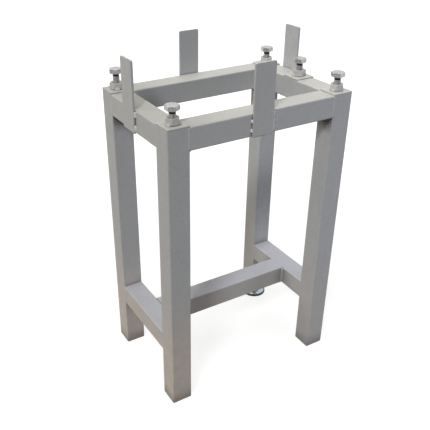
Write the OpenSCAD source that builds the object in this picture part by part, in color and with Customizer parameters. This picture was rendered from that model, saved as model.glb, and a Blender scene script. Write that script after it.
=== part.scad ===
// Stand for a small surface plate: a welded frame of square tube, jacking screws
// that carry the plate, four guides that keep it on, and one levelling foot.
// +X runs along the long side, +Y to the rear and +Z up from the floor.
// The origin lies on the floor, in the middle of the whole stand's outline.

/* [Frame] */
// Length of the frame over its legs
frame_length = 460; // [400:5:700]
// Width of the frame over its legs
frame_width = 310; // [280:5:500]
// Height of the top rails above the floor
frame_height = 700; // [500:5:900]
// Height of the lower rails' underside above the floor
lower_rail_height = 135; // [110:5:300]
// Place of the centre stretcher, to the rear of the middle of the lower rails
stretcher_shift = -3; // [-20:1:20]

/* [Square tube] */
// Side of the tube
tube_side = 50; // [46:1:60]
// Wall of the tube
tube_wall = 2.5; // [2:0.1:2.8]
// Outer corner radius of the tube
tube_corner = 3; // [3:0.1:6]

/* [Plates and welds] */
// Thickness of the plates that the jacking nuts are welded to
cap_thickness = 3; // [3:0.5:8]
// Chamfer round the upper edge of those plates
cap_chamfer = 1.5; // [0.5:0.25:2.5]
// Corner radius of those plates, seen from above
cap_corner = 3; // [1:0.5:4]
// Thickness of the plates that close the lower ends of the legs
end_thickness = 4; // [3:0.5:8]
// Leg length of the weld beads along the guides
guide_weld = 4; // [3:0.5:5]
// Leg length of the weld beads at the tube joints
tube_weld = 5; // [3:0.5:6]
// Leg length of the tacks that hold the jacking nuts
nut_weld = 4.5; // [2:0.5:5]
// Length of those tacks
nut_weld_run = 10; // [5:1:12]

/* [Jacking screws] */
// Thread diameter of the screws
jack_thread = 16; // [12:0.5:17]
// Length of the screws under their heads
jack_length = 60; // [54:1:64]
// Width across the flats of heads and nuts
jack_flats = 27; // [24:0.5:30]
// Height of the screw heads
jack_head_height = 10; // [8:0.5:12]
// Height of the nuts, which are welded down
jack_nut_height = 14.8; // [12:0.1:17]
// Clearance round the screws in the plates
jack_hole_clearance = 0.5; // [0.2:0.1:1.5]
// Height of the front left screw's head above the top rails
front_left_head = 42; // [40:0.5:58]
// Height of the front right screw's head above the top rails
front_right_head = 43.5; // [40:0.5:58]
// Height of the rear left screw's head above the top rails
rear_left_head = 48.5; // [40:0.5:58]
// Height of the rear right screw's head above the top rails
rear_right_head = 42.5; // [40:0.5:58]
// Height of the right middle screw's head above the top rails
right_middle_head = 44.5; // [40:0.5:58]

/* [Guides] */
// Width of the flat bar
guide_width = 50; // [40:1:60]
// Thickness of the flat bar
guide_thickness = 5; // [5:0.5:8]
// Length of the guides, up from the rails' underside
guide_length = 152; // [140:1:200]
// Radius of the guides' upper corners
guide_corner = 3; // [1:0.5:6]
// Place of the front guide, right of the middle of its rail
front_guide_shift = -11; // [-30:0.5:30]
// Place of the rear guide, right of the middle of its rail
rear_guide_shift = -3.5; // [-30:0.5:30]
// Place of the left guide, to the rear of the middle of its rail
left_guide_shift = 8.5; // [-20:0.5:20]
// Gap between the right guide and the rear end of its rail
right_guide_gap = 11.5; // [10:0.5:24]

/* [Levelling foot] */
// Height of the short leg's end plate above the floor
short_leg_height = 51.5; // [48:0.5:70]
// Diameter of the rubber sole
sole_diameter = 68; // [60:1:80]
// Thickness of the rubber sole
sole_thickness = 5; // [3:0.5:8]
// Step from the edge of the sole to the edge of the pad
sole_step = 3; // [1:0.5:4]
// Thickness of the pad at its edge
pad_edge = 1.5; // [1:0.5:3]
// Height of the pad's dome above its edge
pad_dome = 8; // [5:0.5:9]
// Diameter of the pad's hub, which holds the ball
hub_diameter = 25; // [23:0.5:30]
// Height of the hub above the sole
hub_height = 15; // [14:0.5:18]
// Diameter of the ball on the stud
ball_diameter = 14; // [12:0.5:15]
// Gap between the ball and its socket
ball_clearance = 0.3; // [0.2:0.05:0.4]
// Height of the socket's mouth above the middle of the ball
socket_lip = 3.5; // [3:0.1:4]
// Diameter of the neck above the ball
neck_diameter = 9; // [7:0.5:10]
// Length of the neck, from the middle of the ball
neck_length = 7.5; // [7:0.5:9]
// Thread diameter of the stud
stud_thread = 16; // [14:0.5:17]
// Height of the stud's top end above the floor
stud_top = 88; // [84:1:100]
// Width across the flats of the stud's lock nut
stud_nut_flats = 24; // [22:0.5:27]
// Height of the stud's lock nut
stud_nut_height = 13; // [10:0.5:14]
// Outer diameter of the threaded bush in the short leg
bush_diameter = 28; // [24:1:34]
// Length of the threaded bush
bush_length = 20; // [14:1:26]
// Width across the spanner flats at the stud's lower end
spanner_flats = 13; // [11:0.5:13.5]
// Height of the spanner flats
spanner_height = 7; // [5:0.5:8]

/* [Hidden] */
$fn = 64;

paint = [0.68, 0.68, 0.67];
weld_paint = [0.62, 0.62, 0.61];
zinc = [0.78, 0.79, 0.8];
bright_steel = [0.86, 0.87, 0.88];
black_rubber = [0.13, 0.13, 0.13];

// Cuts run this far past the faces they open
overrun = 1;
// Radial clearance of a screw in its thread
thread_clearance = 0.05;
// Depth of the round washer face under a head
washer_face = 0.6;
// Chamfer at the ends of a thread
thread_chamfer = 1.5;
// Chamfer of the hexagons, as a share of the width across flats, and its slope
chamfer_share = 0.95;
chamfer_slope = 30;
// How far each hexagon is turned, as the screws and nuts were left
front_left_head_turn = 29;
front_right_head_turn = 8;
rear_left_head_turn = 7;
rear_right_head_turn = 12;
right_middle_head_turn = 1;
front_left_nut_turn = 0;
front_right_nut_turn = -12;
rear_left_nut_turn = -15;
rear_right_nut_turn = -10;
right_middle_nut_turn = 20;
foot_nut_turn = 12;
// The facets of each jacking nut that are tacked down, from the nut's own turn
front_left_tack_turns = [210, 330];
front_right_tack_turns = [30, 210];
rear_left_tack_turns = [90, 270];
rear_right_tack_turns = [30, 210];
right_middle_tack_turns = [150, 330];
// The four ways that a tube or a guide can face, about Z
right_turn = 0;
rear_turn = 90;
left_turn = 180;
front_turn = -90;

half_tube = tube_side / 2;
tube_bore = tube_side - 2 * tube_wall;

// The outline of the whole stand, which the origin is the middle of
foot_reach = sole_diameter / 2 - half_tube;
rear_right_reach = max(guide_thickness, foot_reach);
outline_length = guide_thickness + frame_length + rear_right_reach;
outline_width = guide_thickness + frame_width + rear_right_reach;

left_x = guide_thickness - outline_length / 2;
right_x = left_x + frame_length;
front_y = guide_thickness - outline_width / 2;
rear_y = front_y + frame_width;
middle_x = (left_x + right_x) / 2;
middle_y = (front_y + rear_y) / 2;
stretcher_y = middle_y + stretcher_shift;

left_axis = left_x + half_tube;
right_axis = right_x - half_tube;
front_axis = front_y + half_tube;
rear_axis = rear_y - half_tube;

front_left = [left_axis, front_axis];
front_right = [right_axis, front_axis];
rear_left = [left_axis, rear_axis];
rear_right = [right_axis, rear_axis];
right_middle = [right_axis, middle_y];

rail_underside = frame_height - tube_side;
lower_rail_top = lower_rail_height + tube_side;
cap_top = frame_height + cap_thickness;
jack_hole = jack_thread / 2 + jack_hole_clearance;
ball_height = sole_thickness + hub_height - socket_lip;
stud_shoulder = ball_height + neck_length;

// Square with round corners
module rounded_square(side, corner) {
    straight = side - 2 * corner;
    square([side, straight], center = true);
    square([straight, side], center = true);
    for (x = [-1, 1], y = [-1, 1])
        translate([x, y] * straight / 2) circle(corner);
}

module tube_section() {
    difference() {
        rounded_square(tube_side, tube_corner);
        rounded_square(tube_bore, tube_corner - tube_wall);
    }
}

module upright_tube(place, bottom, top) {
    translate([place.x, place.y, bottom]) linear_extrude(top - bottom) tube_section();
}

// Tube along X from one leg's face to another's
module long_tube(y, underside) {
    translate([left_x + tube_side, y, underside + half_tube])
        rotate([90, 0, 90]) linear_extrude(frame_length - 2 * tube_side) tube_section();
}

// Tube along Y from one leg's face to another's
module cross_tube(x, underside) {
    translate([x, front_y + tube_side, underside + half_tube])
        rotate([-90, 0, 0]) linear_extrude(frame_width - 2 * tube_side) tube_section();
}

// Plate of the tube's size with a hole for a screw
module drilled_plate(place, underside, thickness, corner, hole) {
    translate([place.x, place.y, underside])
        linear_extrude(thickness) difference() {
            rounded_square(tube_side, corner);
            circle(hole);
        }
}

// Bar along Y of the plates' width and thickness, with its upper edges chamfered
module bevelled_bar() {
    flat = half_tube - cap_chamfer;
    translate([0, half_tube, 0]) rotate([90, 0, 0]) linear_extrude(tube_side) polygon([
        [-half_tube, 0], [half_tube, 0], [half_tube, cap_thickness - cap_chamfer],
        [flat, cap_thickness], [-flat, cap_thickness], [-half_tube, cap_thickness - cap_chamfer]
    ]);
}

// Plate on top of the frame that a jacking nut is welded to
module cap_plate(place) {
    intersection() {
        drilled_plate(place, frame_height, cap_thickness, cap_corner, jack_hole);
        translate([place.x, place.y, frame_height]) intersection() {
            bevelled_bar();
            rotate(90) bevelled_bar();
        }
    }
}

module base_plate(place) {
    translate([place.x, place.y, 0])
        linear_extrude(end_thickness) rounded_square(tube_side, tube_corner);
}

// Radius and drop of a hexagon's chamfer, for a given width across flats
function chamfer_radius(flats) = chamfer_share * flats / 2;
function corner_radius(flats) = flats / sqrt(3);
function chamfer_drop(flats) = (corner_radius(flats) - chamfer_radius(flats)) * tan(chamfer_slope);

module hexagon(flats) {
    circle(corner_radius(flats), $fn = 6);
}

// Hexagonal head with its chamfer on top and a round face below
module screw_head(flats, height) {
    cylinder(h = washer_face, r = chamfer_radius(flats));
    intersection() {
        translate([0, 0, washer_face]) linear_extrude(height - washer_face) hexagon(flats);
        rotate_extrude() polygon([
            [0, 0], [corner_radius(flats) + overrun, 0],
            [corner_radius(flats) + overrun, height - chamfer_drop(flats) - overrun * tan(chamfer_slope)],
            [chamfer_radius(flats), height], [0, height]
        ]);
    }
}

// Threaded rod that hangs down from the origin, chamfered at its end
module hanging_thread(diameter, length) {
    rotate_extrude() polygon([
        [0, 0], [diameter / 2, 0], [diameter / 2, thread_chamfer - length],
        [diameter / 2 - thread_chamfer, -length], [0, -length]
    ]);
}

module jack_screw(place, head_top, turn) {
    translate([place.x, place.y, frame_height + head_top - jack_head_height])
        rotate(turn) {
            screw_head(jack_flats, jack_head_height);
            hanging_thread(jack_thread, jack_length);
        }
}

// Hexagon nut, chamfered at both ends, with a countersunk thread
module nut(flats, height, thread) {
    bore = thread / 2 + thread_clearance;
    difference() {
        intersection() {
            linear_extrude(height) hexagon(flats);
            rotate_extrude() polygon([
                [0, 0], [chamfer_radius(flats), 0],
                [corner_radius(flats) + overrun, chamfer_drop(flats) + overrun * tan(chamfer_slope)],
                [corner_radius(flats) + overrun, height - chamfer_drop(flats) - overrun * tan(chamfer_slope)],
                [chamfer_radius(flats), height], [0, height]
            ]);
        }
        translate([0, 0, -overrun]) cylinder(h = height + 2 * overrun, r = bore);
        translate([0, 0, height - thread_chamfer / 2])
            cylinder(h = thread_chamfer, r1 = bore, r2 = bore + thread_chamfer);
        translate([0, 0, -thread_chamfer / 2])
            cylinder(h = thread_chamfer, r1 = bore + thread_chamfer, r2 = bore);
    }
}

module jack_nut(place, turn) {
    translate([place.x, place.y, cap_top]) rotate(turn) nut(jack_flats, jack_nut_height, jack_thread);
}

// Flat bar in the XZ plane, its foot on the origin and its outer face to -Y
module guide_bar() {
    round_x = guide_width / 2 - guide_corner;
    rotate([90, 0, 0]) linear_extrude(guide_thickness) {
        translate([-guide_width / 2, 0]) square([guide_width, guide_length - guide_corner]);
        translate([-round_x, 0]) square([2 * round_x, guide_length]);
        for (x = [-round_x, round_x]) translate([x, guide_length - guide_corner]) circle(guide_corner);
    }
}

// The four places of the guides, each with the turn that faces it outwards
guide_places = [
    [middle_x + front_guide_shift, front_y, right_turn],
    [middle_x + rear_guide_shift, rear_y, left_turn],
    [left_x, middle_y + left_guide_shift, front_turn],
    [right_x, rear_y - tube_side - right_guide_gap - guide_width / 2, rear_turn]
];

module on_rail(place) {
    translate([place.x, place.y, rail_underside]) rotate(place.z) children();
}

// Fillet weld that runs up from the origin, in the corner of +X and +Y
module bead(leg, run) {
    linear_extrude(run) intersection() {
        circle(leg);
        square(leg);
    }
}

// Fillet weld under a tube whose end meets a face at the origin and that runs to +X
module bead_below(leg, run) {
    translate([0, -run / 2, 0]) rotate([-90, 0, 0]) bead(leg, run);
}

// Where tubes along X and along Y end on the legs, and the way that they run
long_joints = [
    for (y = [front_axis, rear_axis]) [left_x + tube_side, y, right_turn],
    for (y = [front_axis, rear_axis]) [right_x - tube_side, y, left_turn]
];
cross_joints = [
    for (x = [left_axis, right_axis]) [x, front_y + tube_side, rear_turn],
    for (x = [left_axis, right_axis]) [x, rear_y - tube_side, front_turn]
];
stretcher_joints = [
    [left_x + tube_side, stretcher_y, right_turn],
    [right_x - tube_side, stretcher_y, left_turn]
];
tube_weld_run = tube_side - 2 * tube_corner;

module leg_front_left() { color(paint) upright_tube(front_left, end_thickness, frame_height); }
module leg_front_right() { color(paint) upright_tube(front_right, end_thickness, frame_height); }
module leg_rear_left() { color(paint) upright_tube(rear_left, end_thickness, frame_height); }
module leg_rear_right() {
    color(paint) upright_tube(rear_right, short_leg_height + end_thickness, frame_height);
}

module top_rail_front() { color(paint) long_tube(front_axis, rail_underside); }
module top_rail_rear() { color(paint) long_tube(rear_axis, rail_underside); }
module top_rail_left() { color(paint) cross_tube(left_axis, rail_underside); }

// The right rail is drilled for the middle screw
module top_rail_right() {
    color(paint) difference() {
        cross_tube(right_axis, rail_underside);
        translate([right_middle.x, right_middle.y, frame_height - tube_wall - overrun])
            cylinder(h = tube_wall + 2 * overrun, r = jack_hole);
    }
}

module lower_rail_left() { color(paint) cross_tube(left_axis, lower_rail_height); }
module lower_rail_right() { color(paint) cross_tube(right_axis, lower_rail_height); }
module centre_stretcher() { color(paint) long_tube(stretcher_y, lower_rail_height); }

module cap_plate_front_left() { color(paint) cap_plate(front_left); }
module cap_plate_front_right() { color(paint) cap_plate(front_right); }
module cap_plate_rear_left() { color(paint) cap_plate(rear_left); }
module cap_plate_rear_right() { color(paint) cap_plate(rear_right); }
module pad_plate_right_middle() { color(paint) cap_plate(right_middle); }

module base_plate_front_left() { color(paint) base_plate(front_left); }
module base_plate_front_right() { color(paint) base_plate(front_right); }
module base_plate_rear_left() { color(paint) base_plate(rear_left); }
module end_plate_rear_right() {
    color(paint)
        drilled_plate(rear_right, short_leg_height, end_thickness, tube_corner,
            stud_thread / 2 + jack_hole_clearance);
}

// Round bush with the stud's thread, welded inside the short leg
module foot_bush() {
    color(bright_steel)
        translate([rear_right.x, rear_right.y, short_leg_height + end_thickness])
            linear_extrude(bush_length) difference() {
                circle(d = bush_diameter);
                circle(stud_thread / 2 + thread_clearance);
            }
}

module guide_front() { color(paint) on_rail(guide_places[0]) guide_bar(); }
module guide_rear() { color(paint) on_rail(guide_places[1]) guide_bar(); }
module guide_left() { color(paint) on_rail(guide_places[2]) guide_bar(); }
module guide_right() { color(paint) on_rail(guide_places[3]) guide_bar(); }

// Where the beads beside a guide start and end, as shares of the rail's flat face
tack_shares = [[0.16, 0.42], [0.76, 0.92]];
stitch_shares = [[0, 0.34], [0.68, 1]];
whole_shares = [[0, 1]];
// The beads to the right and to the left of each guide, in the order of guide_places
guide_weld_shares = [
    [whole_shares, tack_shares], [stitch_shares, stitch_shares],
    [stitch_shares, stitch_shares], [stitch_shares, stitch_shares]
];

// Beads down the sides of the guides, on the flat of the rail behind them
module guide_welds() {
    color(weld_paint)
        for (guide = [0 : len(guide_places) - 1], side = [0, 1], share = guide_weld_shares[guide][side])
            on_rail(guide_places[guide])
                mirror([side, 0, 0])
                    translate([guide_width / 2, 0, tube_corner + share[0] * tube_weld_run])
                        mirror([0, 1, 0]) bead(guide_weld, (share[1] - share[0]) * tube_weld_run);
}

// Beads under the top rails and down the inner corners between them
module top_rail_welds() {
    color(weld_paint) {
        for (joint = concat(long_joints, cross_joints))
            translate([joint.x, joint.y, rail_underside])
                rotate(joint.z) bead_below(tube_weld, tube_weld_run);
        for (x = [0, 1], y = [0, 1])
            translate([middle_x, middle_y, rail_underside + tube_corner])
                mirror([x, 0, 0]) mirror([0, y, 0])
                    translate([tube_side - frame_length / 2, tube_side - frame_width / 2, 0])
                        bead(tube_weld, tube_weld_run);
    }
}

// Beads under the lower rails, and under and beside the stretcher's ends
module lower_rail_welds() {
    color(weld_paint) {
        for (joint = concat(cross_joints, stretcher_joints))
            translate([joint.x, joint.y, lower_rail_height])
                rotate(joint.z) bead_below(tube_weld, tube_weld_run);
        for (joint = stretcher_joints, side = [0, 1])
            translate([joint.x, joint.y, lower_rail_height + tube_corner])
                rotate(joint.z) mirror([0, side, 0])
                    translate([0, half_tube, 0]) bead(tube_weld, tube_weld_run);
    }
}

// Where each jacking nut stands, and its turn and those of its tacks
nut_places = [
    [front_left, front_left_nut_turn, front_left_tack_turns],
    [front_right, front_right_nut_turn, front_right_tack_turns],
    [rear_left, rear_left_nut_turn, rear_left_tack_turns],
    [rear_right, rear_right_nut_turn, rear_right_tack_turns],
    [right_middle, right_middle_nut_turn, right_middle_tack_turns]
];

// Tacks between the jacking nuts and their plates
module nut_welds() {
    color(weld_paint)
        for (seat = nut_places, tack_turn = seat[2])
            translate([seat[0].x, seat[0].y, cap_top])
                rotate(seat[1] + tack_turn)
                    translate([jack_flats / 2, nut_weld_run / 2, 0])
                        rotate([90, 0, 0]) bead(nut_weld, nut_weld_run);
}

module jack_screw_front_left() {
    color(zinc) jack_screw(front_left, front_left_head, front_left_head_turn);
}
module jack_screw_front_right() {
    color(zinc) jack_screw(front_right, front_right_head, front_right_head_turn);
}
module jack_screw_rear_left() {
    color(zinc) jack_screw(rear_left, rear_left_head, rear_left_head_turn);
}
module jack_screw_rear_right() {
    color(zinc) jack_screw(rear_right, rear_right_head, rear_right_head_turn);
}
module jack_screw_right_middle() {
    color(zinc) jack_screw(right_middle, right_middle_head, right_middle_head_turn);
}

module jack_nut_front_left() { color(zinc) jack_nut(front_left, front_left_nut_turn); }
module jack_nut_front_right() { color(zinc) jack_nut(front_right, front_right_nut_turn); }
module jack_nut_rear_left() { color(zinc) jack_nut(rear_left, rear_left_nut_turn); }
module jack_nut_rear_right() { color(zinc) jack_nut(rear_right, rear_right_nut_turn); }
module jack_nut_right_middle() { color(zinc) jack_nut(right_middle, right_middle_nut_turn); }

// Ball, neck and thread in one, with two flats for a spanner above the neck
module foot_stud() {
    color(zinc) translate([rear_right.x, rear_right.y, 0]) difference() {
        union() {
            translate([0, 0, ball_height]) sphere(d = ball_diameter);
            translate([0, 0, ball_height]) cylinder(h = neck_length, d = neck_diameter);
            translate([0, 0, stud_shoulder]) rotate_extrude() polygon([
                [0, 0], [stud_thread / 2 - thread_chamfer, 0], [stud_thread / 2, thread_chamfer],
                [stud_thread / 2, stud_top - stud_shoulder - thread_chamfer],
                [stud_thread / 2 - thread_chamfer, stud_top - stud_shoulder], [0, stud_top - stud_shoulder]
            ]);
        }
        for (side = [0, 1])
            mirror([0, side, 0])
                translate([-stud_thread / 2, spanner_flats / 2, stud_shoulder - overrun])
                    cube([stud_thread, stud_thread, spanner_height + overrun]);
    }
}

module foot_lock_nut() {
    color(zinc)
        translate([rear_right.x, rear_right.y, short_leg_height - stud_nut_height])
            rotate(foot_nut_turn) nut(stud_nut_flats, stud_nut_height, stud_thread);
}

// Domed pad with a hub whose socket closes over the ball
module foot_pad() {
    pad_radius = sole_diameter / 2 - sole_step;
    dome_radius = (pad_radius * pad_radius + pad_dome * pad_dome) / (2 * pad_dome);
    color(bright_steel) translate([rear_right.x, rear_right.y, sole_thickness])
        rotate_extrude() difference() {
            union() {
                square([pad_radius, pad_edge]);
                intersection() {
                    translate([0, pad_edge + pad_dome - dome_radius]) circle(dome_radius);
                    square([pad_radius, pad_edge + pad_dome]);
                }
                square([hub_diameter / 2, hub_height]);
            }
            translate([0, ball_height - sole_thickness]) circle(ball_diameter / 2 + ball_clearance);
            translate([-pad_radius, -overrun]) square([pad_radius, hub_height + 2 * overrun]);
        }
}

module foot_sole() {
    color(black_rubber) translate([rear_right.x, rear_right.y, 0])
        cylinder(h = sole_thickness, d = sole_diameter);
}

leg_front_left();
leg_front_right();
leg_rear_left();
leg_rear_right();
top_rail_front();
top_rail_rear();
top_rail_left();
top_rail_right();
lower_rail_left();
lower_rail_right();
centre_stretcher();
cap_plate_front_left();
cap_plate_front_right();
cap_plate_rear_left();
cap_plate_rear_right();
pad_plate_right_middle();
base_plate_front_left();
base_plate_front_right();
base_plate_rear_left();
end_plate_rear_right();
foot_bush();
guide_front();
guide_rear();
guide_left();
guide_right();
guide_welds();
top_rail_welds();
lower_rail_welds();
nut_welds();
jack_screw_front_left();
jack_screw_front_right();
jack_screw_rear_left();
jack_screw_rear_right();
jack_screw_right_middle();
jack_nut_front_left();
jack_nut_front_right();
jack_nut_rear_left();
jack_nut_rear_right();
jack_nut_right_middle();
foot_stud();
foot_lock_nut();
foot_pad();
foot_sole();
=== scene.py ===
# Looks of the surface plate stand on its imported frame: camera, lamps, floor, materials and the
# detailed pieces that stand for plain CAD nodes. Everything is in metres, in the frame of the CAD.
import bpy
import bmesh
import math
import random
from mathutils import Matrix, Vector, noise


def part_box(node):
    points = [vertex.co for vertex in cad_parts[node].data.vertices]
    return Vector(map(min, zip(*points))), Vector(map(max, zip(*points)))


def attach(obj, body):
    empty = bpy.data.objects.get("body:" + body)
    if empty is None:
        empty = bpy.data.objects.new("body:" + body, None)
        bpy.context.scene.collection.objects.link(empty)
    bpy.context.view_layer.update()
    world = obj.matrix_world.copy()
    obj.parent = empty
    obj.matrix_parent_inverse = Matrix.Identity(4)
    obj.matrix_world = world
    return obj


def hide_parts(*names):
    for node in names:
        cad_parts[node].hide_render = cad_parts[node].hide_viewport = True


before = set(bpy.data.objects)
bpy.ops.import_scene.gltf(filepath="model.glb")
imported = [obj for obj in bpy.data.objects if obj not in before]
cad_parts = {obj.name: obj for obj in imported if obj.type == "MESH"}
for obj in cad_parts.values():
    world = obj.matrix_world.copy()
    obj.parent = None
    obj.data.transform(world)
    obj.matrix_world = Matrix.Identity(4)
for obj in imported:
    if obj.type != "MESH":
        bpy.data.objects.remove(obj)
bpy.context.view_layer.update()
MM = 0.001
X, Y, Z = Vector((1, 0, 0)), Vector((0, 1, 0)), Vector((0, 0, 1))
TUBE, CORNER = 50 * MM, 3 * MM  # side and outer corner radius of the square tube
RAIL_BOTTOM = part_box("top_rail_left")[0].z


# ---- camera, lamps, floor ----

CAMERA_EYE = (-0.7338, -1.1168, 1.1245)
CAMERA_TURN = (29.477, 29.60, -0.483)  # azimuth, downward tilt and roll in degrees
SENSOR, LENS, SHIFT = 36, 51.60, (0.0656, 0.0132)


def place_camera():
    azimuth, tilt, roll = (math.radians(angle) for angle in CAMERA_TURN)
    forward = Vector((math.sin(azimuth) * math.cos(tilt), math.cos(azimuth) * math.cos(tilt), -math.sin(tilt)))
    level = Vector((math.cos(azimuth), -math.sin(azimuth), 0))
    upward = level.cross(forward)
    right = level * math.cos(roll) + upward * math.sin(roll)
    up = upward * math.cos(roll) - level * math.sin(roll)
    data = bpy.data.cameras.new("camera")
    data.sensor_width, data.lens = SENSOR, LENS
    data.shift_x, data.shift_y = SHIFT
    data.clip_start, data.clip_end = 0.05, 60
    camera = bpy.data.objects.new("camera", data)
    bpy.context.scene.collection.objects.link(camera)
    turn = Matrix((right, up, -forward)).transposed().to_4x4()
    camera.matrix_world = Matrix.Translation(CAMERA_EYE) @ turn
    bpy.context.scene.camera = camera


def area_lamp(name, place, target, size, power, colour):
    data = bpy.data.lights.new(name, "AREA")
    data.shape, data.size, data.size_y = "RECTANGLE", size[0], size[1]
    data.energy, data.color = power, colour
    lamp = bpy.data.objects.new(name, data)
    bpy.context.scene.collection.objects.link(lamp)
    lamp.location = place
    lamp.rotation_euler = (Vector(target) - Vector(place)).to_track_quat("-Z", "Y").to_euler()
    return lamp


def seen_directly(tree):
    """1 for rays that show the surroundings themselves, 0 for those that light the object."""
    path = tree.nodes.new("ShaderNodeLightPath")
    total = path.outputs["Is Camera Ray"]
    for kind in ("Is Glossy Ray", "Is Transmission Ray"):
        add = tree.nodes.new("ShaderNodeMath")
        add.operation, add.use_clamp = "ADD", True
        tree.links.new(total, add.inputs[0])
        tree.links.new(path.outputs[kind], add.inputs[1])
        total = add.outputs[0]
    return total


def light_world():
    world = bpy.data.worlds.new("world")
    bpy.context.scene.world = world
    world.use_nodes = True
    tree = world.node_tree
    tree.nodes.clear()
    white, soft = (tree.nodes.new("ShaderNodeBackground") for _ in range(2))
    white.inputs["Color"].default_value, white.inputs["Strength"].default_value = (1, 1, 1, 1), 1
    soft.inputs["Color"].default_value, soft.inputs["Strength"].default_value = (0.97, 0.985, 1, 1), 0.01
    mix = tree.nodes.new("ShaderNodeMixShader")
    out = tree.nodes.new("ShaderNodeOutputWorld")
    tree.links.new(seen_directly(tree), mix.inputs["Fac"])
    tree.links.new(soft.outputs[0], mix.inputs[1])
    tree.links.new(white.outputs[0], mix.inputs[2])
    tree.links.new(mix.outputs[0], out.inputs["Surface"])


FLOOR_REACH = 14
FLOOR_BOUNCE = (0.21, 0.180, 0.150, 1)  # what the floor sends back to the object
FLOOR_LIT = (0.36, 0.36, 0.36, 1)  # the part of the visible floor that carries the shadow
GLOW_BY_DISTANCE = {"From Min": 0.45, "From Max": 1.5, "To Min": 0.80, "To Max": 1.0}
ROOM_BY_PLACE = {"From Min": -1.9, "From Max": 0.8, "To Min": 0.12, "To Max": 1.0}
BRIGHT_SIDE = (1, 0.8, 0)


def set_inputs(node, values):
    for key, value in values.items():
        node.inputs[key].default_value = value


def lay_floor():
    mesh = bpy.data.meshes.new("floor")
    r = FLOOR_REACH
    mesh.from_pydata([(-r, -r, 0), (r, -r, 0), (r, r, 0), (-r, r, 0)], [], [(0, 1, 2, 3)])
    floor = bpy.data.objects.new("floor", mesh)
    bpy.context.scene.collection.objects.link(floor)
    material = bpy.data.materials.new("pale_floor")
    material.use_nodes = True
    tree = material.node_tree
    tree.nodes.clear()
    bounce, lit, glow, both, mix, out = (tree.nodes.new(kind) for kind in (
        "ShaderNodeBsdfDiffuse", "ShaderNodeBsdfDiffuse", "ShaderNodeEmission", "ShaderNodeAddShader",
        "ShaderNodeMixShader", "ShaderNodeOutputMaterial"))
    bounce.inputs["Color"].default_value = FLOOR_BOUNCE
    lit.inputs["Color"].default_value = FLOOR_LIT
    glow.inputs["Color"].default_value = (1, 1, 1, 1)
    place, distance, rise = (tree.nodes.new(kind) for kind in (
        "ShaderNodeTexCoord", "ShaderNodeVectorMath", "ShaderNodeMapRange"))
    distance.operation = "LENGTH"
    set_inputs(rise, GLOW_BY_DISTANCE)
    tree.links.new(place.outputs["Object"], distance.inputs[0])
    tree.links.new(distance.outputs["Value"], rise.inputs["Value"])
    # reflections find a bright room to the right and behind, and a dim one in front and to the left
    along, side, path, dim, seen = (tree.nodes.new(kind) for kind in (
        "ShaderNodeVectorMath", "ShaderNodeMapRange", "ShaderNodeLightPath", "ShaderNodeMix", "ShaderNodeMath"))
    set_inputs(side, ROOM_BY_PLACE)
    along.operation = "DOT_PRODUCT"
    along.inputs[1].default_value = BRIGHT_SIDE
    tree.links.new(place.outputs["Object"], along.inputs[0])
    tree.links.new(along.outputs["Value"], side.inputs["Value"])
    dim.inputs["A"].default_value = 1.0
    tree.links.new(path.outputs["Is Glossy Ray"], dim.inputs["Factor"])
    tree.links.new(side.outputs[0], dim.inputs["B"])
    seen.operation = "MULTIPLY"
    tree.links.new(rise.outputs[0], seen.inputs[0])
    tree.links.new(dim.outputs[0], seen.inputs[1])
    tree.links.new(seen.outputs[0], glow.inputs["Strength"])
    tree.links.new(lit.outputs[0], both.inputs[0])
    tree.links.new(glow.outputs[0], both.inputs[1])
    tree.links.new(seen_directly(tree), mix.inputs["Fac"])
    tree.links.new(bounce.outputs[0], mix.inputs[1])
    tree.links.new(both.outputs[0], mix.inputs[2])
    tree.links.new(mix.outputs[0], out.inputs["Surface"])
    mesh.materials.append(material)


# ---- materials ----

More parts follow.
